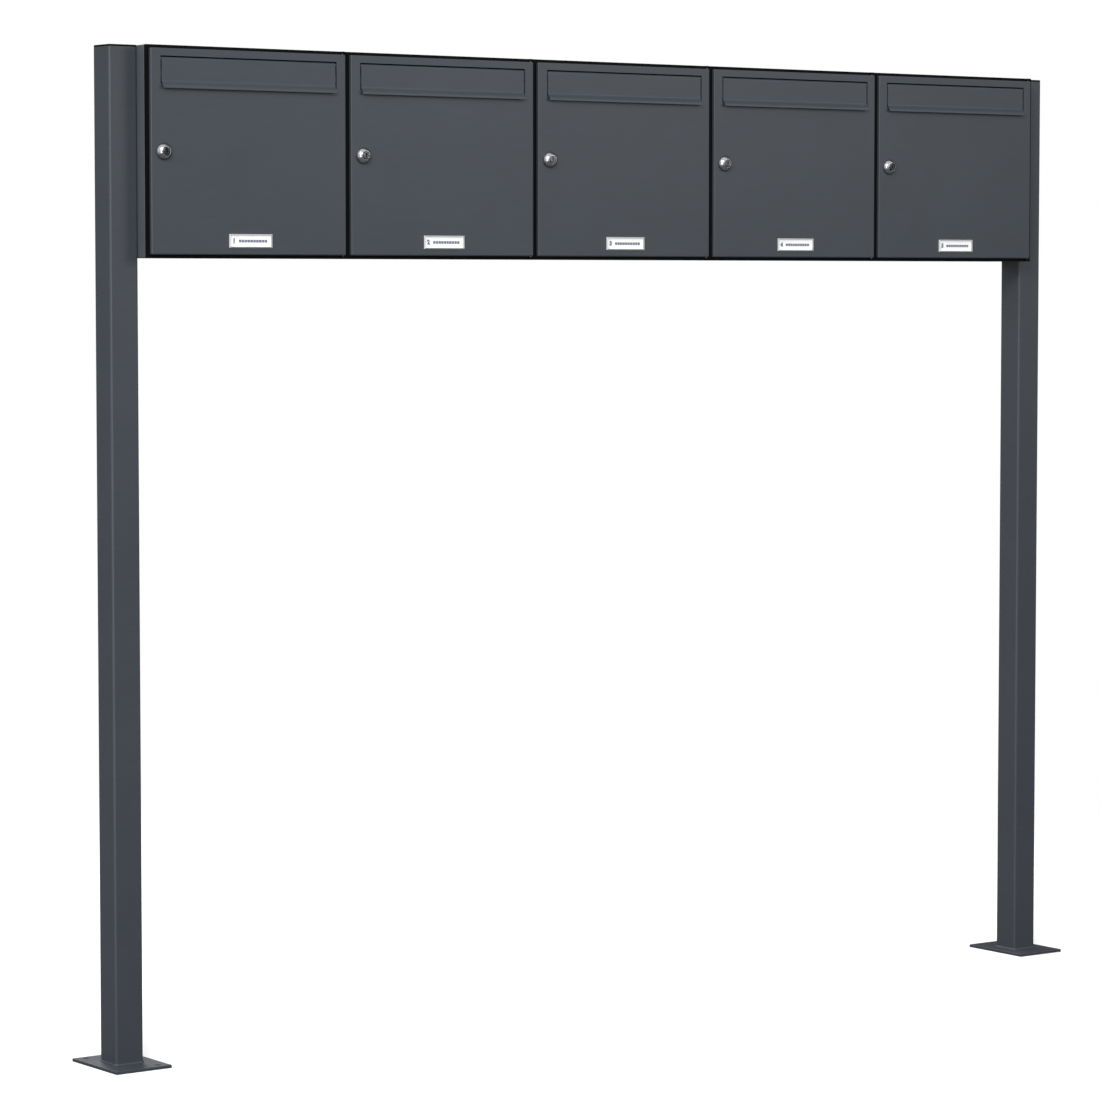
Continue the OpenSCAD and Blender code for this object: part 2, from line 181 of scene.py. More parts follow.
def moulded_plastic(name, colour_hex):
    """Black moulded plastic with a fine spark-eroded grain: almost no colour, and a dull, even sheen."""
    material, tree, place = new_material(name)
    grain = add(tree, "ShaderNodeTexNoise", {"Vector": place, "Scale": 1 / (0.8 * MM), "Detail": 3.0})
    cloud = add(tree, "ShaderNodeTexNoise", {"Vector": place, "Scale": 1 / (30 * MM), "Detail": 2.0})
    roughness = add(tree, "ShaderNodeMapRange", {"Value": cloud.outputs["Fac"], "From Min": 0.3, "From Max": 0.7,
                                                 "To Min": 0.6, "To Max": 0.75})
    dark = add(tree, "ShaderNodeMapRange", {"Value": grain.outputs["Fac"], "To Min": 0.7, "To Max": 1.3})
    colour = add(tree, "ShaderNodeVectorMath", {0: paint(colour_hex)[:3]}, operation="SCALE")
    tree.links.new(dark.outputs["Result"], colour.inputs["Scale"])
    bump = add(tree, "ShaderNodeBump", {"Height": grain.outputs["Fac"], "Strength": 0.3, "Distance": 0.05 * MM})
    shader = add(tree, "ShaderNodeBsdfPrincipled", {
        "Base Color": colour.outputs["Vector"], "Roughness": roughness.outputs["Result"], "IOR": 1.49,
        "Specular IOR Level": 0.1, "Normal": bump.outputs["Normal"]})
    finish_material(tree, shader)
    return material


def plated_metal(name, bright, dull, smooth, worn, mark):
    """Plated metal: a polished or satin face whose sheen and colour drift a little, with fine
    handling marks about mark wide."""
    material, tree, place = new_material(name)
    marks = add(tree, "ShaderNodeTexNoise", {"Vector": place, "Scale": 1 / mark, "Detail": 4.0, "Roughness": 0.6})
    cloud = add(tree, "ShaderNodeTexNoise", {"Vector": place, "Scale": 1 / (7 * MM), "Detail": 2.0})
    colour = add(tree, "ShaderNodeMix", {"Factor": cloud.outputs["Fac"], "A": paint(dull), "B": paint(bright)},
                 data_type="RGBA")
    roughness = add(tree, "ShaderNodeMapRange", {"Value": marks.outputs["Fac"], "From Min": 0.35,
                                                 "From Max": 0.7, "To Min": smooth, "To Max": worn})
    bump = add(tree, "ShaderNodeBump", {"Height": marks.outputs["Fac"], "Strength": 0.1,
                                        "Distance": 0.03 * MM})
    shader = add(tree, "ShaderNodeBsdfPrincipled", {
        "Base Color": colour.outputs["Result"], "Metallic": 1.0, "Roughness": roughness.outputs["Result"],
        "Normal": bump.outputs["Normal"]})
    finish_material(tree, shader)
    return material


def clear_acrylic(name, colour_hex, cover):
    """Injection-moulded clear acrylic: glossy, with hairline marks. Its face is all but invisible over
    the card, and its bevels are painted a milky grey, a painted reflection of the light they throw back from inside.
    Cover is how much each hides."""
    material, tree, place = new_material(name)
    marks = add(tree, "ShaderNodeTexNoise", {"Vector": place, "Scale": 1 / (1.5 * MM), "Detail": 4.0})
    roughness = add(tree, "ShaderNodeMapRange", {"Value": marks.outputs["Fac"], "From Min": 0.4,
                                                 "From Max": 0.8, "To Min": 0.03, "To Max": 0.14})
    shader = add(tree, "ShaderNodeBsdfPrincipled", {
        "Base Color": paint(colour_hex), "Roughness": roughness.outputs["Result"], "IOR": 1.49,
        "Alpha": cover})
    finish_material(tree, shader)
    return material


def uncoated_card():
    """Uncoated white card: matt, with a soft fibre texture."""
    material, tree, place = new_material("uncoated_white_card")
    # Paper fibres are far finer, and are drawn 0.8 mm wide so that they show.
    fibre = add(tree, "ShaderNodeTexNoise", {"Vector": place, "Scale": 1 / (0.8 * MM), "Detail": 5.0})
    colour = add(tree, "ShaderNodeMix", {"Factor": fibre.outputs["Fac"], "A": paint("#FAFAF8"),
                                         "B": paint("#FFFFFF")}, data_type="RGBA")
    bump = add(tree, "ShaderNodeBump", {"Height": fibre.outputs["Fac"], "Strength": 0.15,
                                        "Distance": 0.03 * MM})
    shader = add(tree, "ShaderNodeBsdfPrincipled", {
        "Base Color": colour.outputs["Result"], "Roughness": 0.9, "Normal": bump.outputs["Normal"]})
    finish_material(tree, shader)
    return material


def printed_ink():
    """Dark blue ink on card: dull, and thinner in places."""
    material, tree, place = new_material("dark_blue_ink")
    spread = add(tree, "ShaderNodeTexNoise", {"Vector": place, "Scale": 1 / (0.6 * MM), "Detail": 3.0})
    colour = add(tree, "ShaderNodeMix", {"Factor": spread.outputs["Fac"], "A": paint("#121A50"),
                                         "B": paint("#1E2862")}, data_type="RGBA")
    shader = add(tree, "ShaderNodeBsdfPrincipled", {"Base Color": colour.outputs["Result"], "Roughness": 0.7})
    finish_material(tree, shader)
    return material


top_z = cad_box[1].z
door_paint = powder_coat("powder_coat_doors", "#31373E", "#31373E", 0, top_z)
# The casings have the same coat as the doors, drawn a shade lighter: painted light standing in for the brighter light
# on their sides.
casing_paint = powder_coat("powder_coat_casings_painted_light", "#45494E", "#45494E", 0, top_z)
# The posts' colour shifts a touch between 0.8 m and 1.5 m: painted shading that evens out how the light falls along
# them.
post_paint = powder_coat("powder_coat_posts_painted_shading", "#33383E", "#343940", 0.8, 1.5)
black_plastic = moulded_plastic("black_moulded_plastic", "#040404")
chrome = plated_metal("nickel_chrome_plate", "#B4B5B8", "#8E8F92", 0.14, 0.26, 1.2 * MM)
# The plug is plated like the collar; its darker colour is painted shade standing in for the dark surroundings its face
# reflects.
plug_metal = plated_metal("plug_plate_painted_dark", "#5C5D61", "#3C3D41", 0.14, 0.24, 0.8 * MM)
zinc = plated_metal("zinc_plated_steel", "#C4C7C9", "#A3A59F", 0.3, 0.5, 0.9 * MM)
acrylic = clear_acrylic("clear_acrylic_face", "#F2F4F5", 0.1)
# The bevels' grey, mostly opaque colour is painted reflection standing in for the light the clear edges throw back.
acrylic_bevel = clear_acrylic("clear_acrylic_bevel_painted_reflection", "#C9CBCD", 0.75)
card_stock = uncoated_card()
ink = printed_ink()


# ---- Mesh tools ----

def block(bm, low, high):
    """Adds a closed block between two corners."""
    low, high = Vector(low), Vector(high)
    made = bmesh.ops.create_cube(bm, size=1.0)["verts"]
    bmesh.ops.scale(bm, vec=high - low, verts=made)
    bmesh.ops.translate(bm, vec=(low + high) / 2, verts=made)
    return made


def rod(bm, start, end, radius, segments=32, end_radius=None):
    """Adds a closed cylinder or cone from start to end."""
    start, end = Vector(start), Vector(end)
    along = end - start
    turn = Vector((0, 0, 1)).rotation_difference(along).to_matrix().to_4x4()
    return bmesh.ops.create_cone(
        bm, cap_ends=True, segments=segments, radius1=radius,
        radius2=radius if end_radius is None else end_radius, depth=along.length,
        matrix=Matrix.Translation((start + end) / 2) @ turn)["verts"]


def edges_along(verts, direction):
    """The straight edges between verts that run along a direction."""
    edges = {edge for vert in verts for edge in vert.link_edges}
    return [e for e in edges
            if abs((e.verts[0].co - e.verts[1].co).normalized().dot(Vector(direction))) > 0.999]


def facing(bm, direction):
    """The face whose normal is closest to a direction, and the farthest out of those."""
    direction = Vector(direction)
    flat = [f for f in bm.faces if f.normal.dot(direction) > 0.999]
    return max(flat, key=lambda f: (round(f.calc_center_median().dot(direction), 6), f.calc_area()))


def round_edges(bm, edges, radius, segments):
    bmesh.ops.bevel(bm, geom=list(edges), offset=radius, offset_type="OFFSET", segments=segments,
                    profile=0.5, affect="EDGES", material=-1, clamp_overlap=True)


def soften(bm, width, segments=2, angle=40):
    """Rounds every edge that is sharper than an angle."""
    bmesh.ops.remove_doubles(bm, verts=bm.verts, dist=0.002 * MM)
    bmesh.ops.dissolve_limit(bm, angle_limit=radians(0.5), verts=bm.verts, edges=bm.edges)
    bm.normal_update()
    sharp = [e for e in bm.edges if e.is_manifold and e.calc_face_angle(0) > radians(angle)]
    round_edges(bm, sharp, width, segments)


def scratch(bm):
    """A temporary object that holds a bmesh, which it frees."""
    mesh = bpy.data.meshes.new("scratch")
    bmesh.ops.recalc_face_normals(bm, faces=bm.faces)
    bm.to_mesh(mesh)
    bm.free()
    made = bpy.data.objects.new("scratch", mesh)
    bpy.context.scene.collection.objects.link(made)
    return made


def combine(bm, tool, operation):
    """The union, difference or intersection of two closed shapes, as a new bmesh."""
    body, other = scratch(bm), scratch(tool)
    step = body.modifiers.new("combine", "BOOLEAN")
    step.object = other
    step.operation = operation
    step.solver = "EXACT"
    step.use_self = True
    made = bmesh.new()
    made.from_object(body, bpy.context.evaluated_depsgraph_get())
    for old in (body, other):
        bpy.data.meshes.remove(old.data)
    return made


def piece(name, bm, material, body, replaced=(), sharp=40):
    """Turns a bmesh into a finished piece: shaded, painted, riding on its body."""
    bmesh.ops.remove_doubles(bm, verts=bm.verts, dist=0.002 * MM)
    bmesh.ops.recalc_face_normals(bm, faces=bm.faces)
    mesh = bpy.data.meshes.new(name)
    bm.to_mesh(mesh)
    bm.free()
    mesh.materials.append(material)
    for polygon in mesh.polygons:
        polygon.use_smooth = True
    mesh.set_sharp_from_angle(angle=radians(sharp))
    made = bpy.data.objects.new(name, mesh)
    bpy.context.scene.collection.objects.link(made)
    weigh = made.modifiers.new("weighted_normals", "WEIGHTED_NORMAL")
    weigh.keep_sharp = True
    weigh.weight = 100
    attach(made, body)
    if replaced:
        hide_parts(*replaced)
    return made


# ---- Posts ----

def post_bolt_heights():
    """Heights of the bolts between a casing's side and its post."""
    low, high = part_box("casing_1")
    rows, edge = 4, 45 * MM
    return [low.z + edge + k * (high.z - low.z - 2 * edge) / (rows - 1) for k in range(rows)]


def make_post(side, name):
    low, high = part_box(name)
    wall, corner_r = 2 * MM, 4 * MM
    bm = bmesh.new()
    outer = block(bm, low, high)
    round_edges(bm, edges_along(outer, (0, 0, 1)), corner_r, 8)
    ends = [f for f in bm.faces if abs(f.normal.z) > 0.99]
    bmesh.ops.delete(bm, geom=ends, context="FACES_ONLY")
    bmesh.ops.solidify(bm, geom=bm.faces, thickness=wall)
    holes = bmesh.new()
    inner_x = high.x if side < 0 else low.x
    for z in post_bolt_heights():
        rod(holes, (inner_x - wall - PAST, 0, z), (inner_x + wall + PAST, 0, z), BOLT_R + HOLE_GAP)
    bm = combine(bm, holes, "DIFFERENCE")
    soften(bm, 0.3 * MM, 2, 60)
    piece(f"{name}_tube", bm, post_paint, "root", [name])


def make_weld(name, post, plate):
    """Fillet weld between a post and its foot plate."""
    post_low, post_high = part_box(post)
    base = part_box(plate)[1].z
    leg = 2.2 * MM
    bm = bmesh.new()
    bead = block(bm, (post_low.x - leg, post_low.y - leg, base), (post_high.x + leg, post_high.y + leg, base + leg))
    round_edges(bm, edges_along(bead, (0, 0, 1)), 4 * MM + leg, 12)
    top = facing(bm, (0, 0, 1))
    round_edges(bm, top.edges, leg * 0.93, 4)
    core = bmesh.new()
    inside = block(core, (post_low.x + PAST, post_low.y + PAST, base - PAST),
                   (post_high.x - PAST, post_high.y - PAST, base + leg + PAST))
    round_edges(core, edges_along(inside, (0, 0, 1)), 3 * MM, 8)
    bm = combine(bm, core, "DIFFERENCE")
    piece(name, bm, post_paint, "root")


def make_foot_plate(name):
    low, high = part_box(name)
    middle = (low + high) / 2
    hole_r, hole_x, hole_y = 4.5 * MM, 32 * MM, 57.5 * MM
    bm = bmesh.new()
    block(bm, low, high)
    holes = bmesh.new()
    for x in (-hole_x, hole_x):
        for y in (-hole_y, hole_y):
            at = middle + Vector((x, y, 0))
            rod(holes, at - Vector((0, 0, 10 * MM)), at + Vector((0, 0, 10 * MM)), hole_r, 40)
    bm = combine(bm, holes, "DIFFERENCE")
    soften(bm, 0.7 * MM, 3)
    piece(f"{name}_drilled", bm, post_paint, "root", [name])


def make_caps():
    """Moulded caps with hollow plugs, pressed into the posts."""
    bm = bmesh.new()
    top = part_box("post_caps")[1].z
    head_t, plug_in, wall = 3 * MM, 15 * MM, 1.8 * MM
    for post in ("post_left", "post_right"):
        low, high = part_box(post)
        head = bmesh.new()
        outer = block(head, (low.x, low.y, top - head_t), (high.x, high.y, top))
        round_edges(head, edges_along(outer, (0, 0, 1)), 4 * MM, 8)
        round_edges(head, facing(head, (0, 0, 1)).edges, 1 * MM, 4)
        under = facing(head, (0, 0, -1))
        bmesh.ops.inset_region(head, faces=[under], thickness=2.15 * MM)
        for inset, rise in ((0, -plug_in), (wall, plug_in - 1 * MM)):
            if inset:
                bmesh.ops.inset_region(head, faces=[under], thickness=inset)
            grown = bmesh.ops.extrude_face_region(head, geom=[under])["geom"]
            bmesh.ops.delete(head, geom=[under], context="FACES_ONLY")
            under = next(g for g in grown if isinstance(g, bmesh.types.BMFace))
            bmesh.ops.translate(head, vec=(0, 0, rise), verts=under.verts)
        mesh = bpy.data.meshes.new("scratch")
        head.to_mesh(mesh)
        head.free()
        bm.from_mesh(mesh)
        bpy.data.meshes.remove(mesh)
    piece("post_caps_moulded", bm, black_plastic, "root", ["post_caps"])


# ---- Casings ----

def side_screws(i):
    """Heights and depths of the screws between neighbouring casings."""
    low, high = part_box(f"casing_{i}")
    return [(y, z) for y in (low.y + 20 * MM, high.y - 20 * MM) for z in (low.z + 25 * MM, high.z - 25 * MM)]


def side_holes(bm, i, x, at_post):
    """Adds cutters for the holes through one side of a casing, at x."""
    reach = Vector((CASING_SHEET + PAST, 0, 0))
    spots = [(0, z) for z in post_bolt_heights()] if at_post else side_screws(i)
    for y, z in spots:
        at = Vector((x, y, z))
        rod(bm, at - reach, at + reach, (BOLT_R if at_post else SCREW_R) + HOLE_GAP, 24)


def make_casing(i):
    """Folded steel box, open at the front inside its folded edge, with a let-in back panel."""
    low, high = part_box(f"casing_{i}")
    seam_w, seam_in = 11 * MM, 0.8 * MM
    bm = bmesh.new()
    block(bm, low, high)
    round_edges(bm, bm.edges, CASING_BEND_R, 4)
    back = facing(bm, (0, 1, 0))
    bmesh.ops.inset_region(bm, faces=[back], thickness=seam_w - CASING_BEND_R)
    bmesh.ops.inset_region(bm, faces=[back], thickness=seam_in, depth=-seam_in)
    front = facing(bm, (0, -1, 0))
    bmesh.ops.inset_region(bm, faces=[front], thickness=FLANGE_W - CASING_BEND_R)
    bmesh.ops.delete(bm, geom=[front], context="FACES_ONLY")
    bmesh.ops.solidify(bm, geom=bm.faces, thickness=CASING_SHEET)
    holes = bmesh.new()
    side_holes(holes, i, low.x, i == boxes[0])
    side_holes(holes, i, high.x, i == boxes[-1])
    bm = combine(bm, holes, "DIFFERENCE")
    piece(f"casing_{i}_folded", bm, casing_paint, "root", [f"casing_{i}"])


def frame_section(low, high, y0, corner, hinge_rim):
    """Section of the moulded surround at one corner of the box: rim, floor and lip."""
    sx, sz = corner
    rim = HINGE_RIM_W if hinge_rim else RIM_W
    rim_y, floor_y, back_y, lip_y = 5.5 * MM, 9.5 * MM, 12 * MM, 14.2 * MM
    floor_in = FLANGE_W + 0.3 * MM + LIP_W
    lip_in = floor_in - LIP_W
    points = [(0, rim_y), (rim, rim_y), (rim, floor_y), (floor_in, floor_y), (floor_in, lip_y),
              (lip_in, lip_y), (lip_in, back_y), (0, back_y)]
    made = []
    for inset, y in points:
        inset_z = RIM_W if inset == rim else inset
        made.append(Vector((low.x + inset if sx < 0 else high.x - inset, y0 + y,
                            low.z + inset_z if sz < 0 else high.z - inset_z)))
    return made


def make_front_frame(i):
    """Dark moulded surround, swept round the box's front edge, with lugs for the door's pins."""
    low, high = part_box(f"casing_{i}")
    y0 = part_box(f"door_{i}")[0].y
    hinge = Vector(joints[f"door_swing_{i}"]["pos_m"])
    bm = bmesh.new()
    corners = []
    for corner in ((-1, -1), (1, -1), (1, 1), (-1, 1)):
        points = frame_section(low, high, y0, corner, corner[0] > 0)
        verts = [bm.verts.new(p) for p in points]
        corners.append([bm.edges.new((verts[k - 1], verts[k])) for k in range(len(verts))])
    for k in range(len(corners)):
        bmesh.ops.bridge_loops(bm, edges=corners[k - 1] + corners[k])
    lugs, bores = bmesh.new(), bmesh.new()
    lug_r, lug_back = 3.2 * MM, 2.5 * MM
    for end, inward in ((low.z, 1), (high.z, -1)):
        inner = end + inward * RIM_W
        rod(lugs, (hinge.x, hinge.y, end), (hinge.x, hinge.y, inner), lug_r, 32)
        block(lugs, (hinge.x - lug_r, hinge.y, min(end, inner)), (hinge.x + lug_r, hinge.y + lug_back, max(end, inner)))
        rod(bores, (hinge.x, hinge.y, end - inward * PAST), (hinge.x, hinge.y, inner + inward * PAST), 1.55 * MM, 24)
        rod(bores, (hinge.x, hinge.y, end - inward * PAST), (hinge.x, hinge.y, end + inward * 0.85 * MM), 2.7 * MM, 24)
    bm = combine(bm, lugs, "UNION")
    bm = combine(bm, bores, "DIFFERENCE")
    soften(bm, 0.25 * MM, 2, 50)
    piece(f"front_frame_{i}_moulded", bm, black_plastic, "root", [f"front_frame_{i}"])


# ---- Fasteners ----

def hex_head(bm, start, end, across_flats):
    """A hexagonal head or nut, chamfered by turning its corners."""
    start, end = Vector(start), Vector(end)
    corner_r = across_flats / sqrt(3)
    head, turned = bmesh.new(), bmesh.new()
    rod(head, start, end, corner_r, 6)
    along = (end - start).normalized()
    chamfer = 0.6 * MM
    rod(turned, start - along * PAST, end - along * chamfer, corner_r * 1.01, 48)
    rod(turned, end - along * chamfer, end, corner_r * 1.01, 48, corner_r * 0.84)
    shaped = combine(head, turned, "INTERSECT")
    pour(bm, shaped)


def pour(bm, other):
    """Adds one bmesh to another and frees it."""
    mesh = bpy.data.meshes.new("scratch")
    other.to_mesh(mesh)
    other.free()
    bm.from_mesh(mesh)
    bpy.data.meshes.remove(mesh)


def row_ends():
    """X of each end of the row, and the direction from the boxes out to the post."""
    return [(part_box("casing_1")[0].x, -1), (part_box(f"casing_{boxes[-1]}")[1].x, 1)]


def make_bolts():
    """Hexagon bolts from inside the end casings, and the weld nuts in the posts."""
    bolts, nuts = bmesh.new(), bmesh.new()
    head_t, nut_t, post_wall, thread_past, flats = 4 * MM, 5 * MM, 2 * MM, 1.5 * MM, 10 * MM
    for x, out in row_ends():
        for z in post_bolt_heights():
            at = Vector((x, 0, z))
            step = Vector((out, 0, 0))
            shank_end = at + step * (post_wall + nut_t + thread_past)
            rod(bolts, at - step * (CASING_SHEET + head_t / 2), shank_end - step * 0.5 * MM, BOLT_R, 24)
            rod(bolts, shank_end - step * 0.5 * MM, shank_end, BOLT_R, 24, BOLT_R - 0.5 * MM)
            hex_head(bolts, at - step * CASING_SHEET, at - step * (CASING_SHEET + head_t), flats)
            nut = bmesh.new()
            hex_head(nut, at + step * post_wall, at + step * (post_wall + nut_t), flats)
            bore = bmesh.new()
            rod(bore, at, at + step * 20 * MM, BOLT_R + 0.02 * MM, 24)
            pour(nuts, combine(nut, bore, "DIFFERENCE"))
    piece("post_bolts_hex", bolts, zinc, "root", ["post_bolts"])
    piece("weld_nuts_hex", nuts, zinc, "root", ["weld_nuts"])


def drive_recess(bm, at, out, size, depth):
    """Cutters for a cross recess in a screw head, at a point on its face."""
    out = Vector(out)
    side = Vector((0, 0, 1)) if abs(out.z) < 0.5 else Vector((1, 0, 0))
    other = out.cross(side)
    for long, short in ((side, other), (other, side)):
        corner = long * size / 2 + short * size / 7
        a, b = at - corner - out * depth, at + corner + out * PAST
        block(bm, [min(p, q) for p, q in zip(a, b)], [max(p, q) for p, q in zip(a, b)])


def pan_screw(bm, under_head, out, head_r, head_t, shank_r, shank_length):
    """A pan-head screw with a cross recess: out points from its shank to its head."""
    out = Vector(out)
    face = under_head + out * head_t
    head = bmesh.new()
    rod(head, under_head, face, head_r, 40)
    rim = [e for e in head.edges if all((v.co - face).dot(out) > -0.1 * MM for v in e.verts)]
    round_edges(head, rim, head_t * 0.45, 4)
    recess = bmesh.new()
    drive_recess(recess, face, out, head_r * 1.1, head_t * 0.55)
    pour(bm, combine(head, recess, "DIFFERENCE"))
    tip = under_head - out * shank_length
    rod(bm, under_head + out * head_t * 0.2, tip + out * 0.4 * MM, shank_r, 24)
    rod(bm, tip + out * 0.4 * MM, tip, shank_r, 24, shank_r - 0.4 * MM)


def make_joining_screws():
    """Screws and nuts through the sides of neighbouring casings."""
    screws, nuts = bmesh.new(), bmesh.new()
    for i in boxes[1:]:
        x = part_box(f"casing_{i}")[0].x
        for y, z in side_screws(i):
            at = Vector((x, y, z))
            step = Vector((1, 0, 0))
            pan_screw(screws, at - step * CASING_SHEET, -step, 4.75 * MM, 3 * MM, SCREW_R, 7.9 * MM)
            nut = bmesh.new()
            hex_head(nut, at + step * CASING_SHEET, at + step * (CASING_SHEET + 4 * MM), 8 * MM)
            bore = bmesh.new()
            rod(bore, at, at + step * 20 * MM, SCREW_R + 0.02 * MM, 24)
            pour(nuts, combine(nut, bore, "DIFFERENCE"))
    piece("joining_screws_pan", screws, zinc, "root", ["joining_screws"])
    piece("joining_nuts_hex", nuts, zinc, "root", ["joining_nuts"])


def make_hinge_pins():
    bm = bmesh.new()
    for i in boxes:
        low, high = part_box(f"casing_{i}")
        hinge = Vector(joints[f"door_swing_{i}"]["pos_m"])
        for end, inward in ((low.z, 1), (high.z, -1)):
            tip = end + inward * (RIM_W + 6 * MM)
            rod(bm, (hinge.x, hinge.y, end + inward * 0.4 * MM), (hinge.x, hinge.y, tip), 1.5 * MM, 24)
            head = bmesh.new()
            rod(head, (hinge.x, hinge.y, end), (hinge.x, hinge.y, end + inward * 0.8 * MM), 2.6 * MM, 24)
            soften(head, 0.25 * MM)
            pour(bm, head)
    piece("hinge_pins_steel", bm, zinc, "root", ["hinge_pins"])


# ---- Doors ----

def make_door(i):
    """Folded door with its hinge ears, and the welded cheeks that carry the letter flap."""
    casing_low, casing_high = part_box(f"casing_{i}")
    low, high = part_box(f"door_{i}")
    hinge = Vector(joints[f"door_swing_{i}"]["pos_m"])
    lock = Vector(joints[f"lock_turn_{i}"]["pos_m"])
    axis = Vector(joints[f"flap_lift_{i}"]["pos_m"])
    middle = (casing_low.x + casing_high.x) / 2
    slot_top = high.z - SLOT_DROP
    bm = bmesh.new()
    block(bm, low, high)
    back = facing(bm, (0, 1, 0))
    folds = set(bm.edges) - set(back.edges)
    round_edges(bm, folds, DOOR_BEND_R, 5)
    bmesh.ops.delete(bm, geom=[facing(bm, (0, 1, 0))], context="FACES_ONLY")
    bmesh.ops.solidify(bm, geom=bm.faces, thickness=DOOR_SHEET)

    cut = bmesh.new()
    block(cut, (hinge.x - 1 * MM, low.y + 5 * MM, low.z - PAST), (high.x + PAST, high.y + PAST, high.z + PAST))
    block(cut, (middle - SLOT_W / 2, low.y - PAST, slot_top - SLOT_H), (middle + SLOT_W / 2, low.y + DOOR_SHEET + PAST / 4, slot_top))
    hole, flats = bmesh.new(), bmesh.new()
    rod(hole, lock - Vector((0, PAST, 0)), lock + Vector((0, DOOR_SHEET + PAST, 0)), BARREL_THREAD_R + 0.1 * MM, 48)
    half_flat = BARREL_FLATS / 2 + 0.1 * MM
    block(flats, lock - Vector((half_flat, 2 * PAST, 2 * COLLAR_R)), lock + Vector((half_flat, 5 * MM, 2 * COLLAR_R)))
    pour(cut, combine(hole, flats, "INTERSECT"))
    bm = combine(bm, cut, "DIFFERENCE")

    ear_r, ear_h, cheek_t, cheek_d, stop_w = 3.2 * MM, 7 * MM, 1.5 * MM, 6 * MM, 6 * MM
    welded, stops, bores = bmesh.new(), bmesh.new(), bmesh.new()
    for end, inward in ((low.z, 1), (high.z, -1)):
        rod(welded, (hinge.x, hinge.y, end), (hinge.x, hinge.y, end + inward * ear_h), ear_r, 32)
        rod(bores, (hinge.x, hinge.y, end - inward * PAST), (hinge.x, hinge.y, end + inward * (ear_h + PAST)), 1.58 * MM, 24)
    lip_h = 2 * LIP_OUT / (2 * (1 - cos(LIP_TURN))) * sin(LIP_TURN)
    for side in (-1, 1):
        near = middle + side * (SLOT_W / 2 + 0.5 * MM)
        far = near + side * cheek_t
        block(welded, (min(near, far), low.y + DOOR_SHEET - 0.05 * MM, slot_top - SLOT_H - 4 * MM),
              (max(near, far), low.y + DOOR_SHEET + cheek_d, slot_top + 2 * MM))
        tip = near - side * (stop_w + 0.5 * MM)
        stop_z = slot_top - SLOT_H + lip_h
        block(stops, (min(tip, far), low.y + DOOR_SHEET + 0.3 * MM, stop_z),
              (max(tip, far), low.y + 2 * DOOR_SHEET + 0.3 * MM, stop_z + 8 * MM))
    rod(bores, (middle - SLOT_W / 2 - 5 * MM, axis.y, axis.z), (middle - SLOT_W / 2, axis.y, axis.z), ROD_R + 0.02 * MM, 24)
    rod(bores, (middle + SLOT_W / 2, axis.y, axis.z), (middle + SLOT_W / 2 + 5 * MM, axis.y, axis.z), ROD_R + 0.02 * MM, 24)
    bm = combine(bm, combine(welded, stops, "UNION"), "UNION")
    bm = combine(bm, bores, "DIFFERENCE")
    soften(bm, 0.3 * MM, 2, 50)
    piece(f"door_{i}_pressed", bm, door_paint, f"door_{i}", [f"door_{i}"])


def make_flap(i):
    """Letter flap: sheet rolled round its rod at the top, with an S-shaped pull lip at the bottom."""
    low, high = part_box(f"flap_{i}")
    axis = Vector(joints[f"flap_lift_{i}"]["pos_m"])
    face = axis.y - BARREL_R
    turn_r = LIP_OUT / (2 * (1 - cos(LIP_TURN)))
    lip_h = 2 * turn_r * sin(LIP_TURN)
    flat = axis.z - low.z - lip_h - LIP_TAIL
    bm = bmesh.new()
    start = [bm.verts.new((low.x, y, axis.z)) for y in (face, face + DOOR_SHEET)]
    seam = bm.edges.new(start)
    bmesh.ops.spin(bm, geom=start + [seam], cent=(low.x, axis.y, axis.z), axis=(1, 0, 0),
                   angle=-radians(292), steps=28)

    def go_down(edge, drop, steps):
        """Extends the sheet straight down from an edge, in equal steps."""
        for _ in range(steps):
            grown = bmesh.ops.extrude_edge_only(bm, edges=[edge])["geom"]
            edge = next(g for g in grown if isinstance(g, bmesh.types.BMEdge)
                        and all(v in grown for v in g.verts))
            bmesh.ops.translate(bm, vec=(0, 0, -drop / steps), verts=edge.verts)
        return edge

    def turn(edge, centre, angle):
        """Bends the sheet on from an edge, about a centre."""
        made = bmesh.ops.spin(bm, geom=list(edge.verts) + [edge], cent=centre, axis=(1, 0, 0),
                              angle=angle, steps=10)["geom_last"]
        return next(g for g in made if isinstance(g, bmesh.types.BMEdge))

    mean = face + DOOR_SHEET / 2
    edge = go_down(seam, flat, 1)
    first = Vector((low.x, mean - turn_r, axis.z - flat))
    edge = turn(edge, first, -LIP_TURN)
    second = first + 2 * turn_r * Vector((0, cos(LIP_TURN), -sin(LIP_TURN)))
    edge = turn(edge, second, LIP_TURN)
    go_down(edge, LIP_TAIL, 1)
    bmesh.ops.remove_doubles(bm, verts=bm.verts, dist=0.01 * MM)
    grown = bmesh.ops.extrude_face_region(bm, geom=bm.faces[:])["geom"]
    bmesh.ops.translate(bm, vec=(high.x - low.x, 0, 0), verts=[g for g in grown if isinstance(g, bmesh.types.BMVert)])
    bmesh.ops.recalc_face_normals(bm, faces=bm.faces)
    soften(bm, 0.35 * MM, 3, 50)
    piece(f"flap_{i}_rolled", bm, door_paint, f"flap_{i}", [f"flap_{i}"])


def make_flap_rod(i):
    low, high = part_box(f"flap_rod_{i}")
    axis = Vector(joints[f"flap_lift_{i}"]["pos_m"])
    bm = bmesh.new()
    rod(bm, (low.x + 0.5 * MM, axis.y, axis.z), (high.x - 0.5 * MM, axis.y, axis.z), ROD_R, 24)
    for x, inward in ((low.x, 1), (high.x, -1)):
        head = bmesh.new()
        rod(head, (x, axis.y, axis.z), (x + inward * 1 * MM, axis.y, axis.z), 1.65 * MM, 24)
        soften(head, 0.3 * MM, 3)
        pour(bm, head)
    piece(f"flap_rod_{i}_headed", bm, zinc, f"door_{i}", [f"flap_rod_{i}"])


# ---- Locks ----

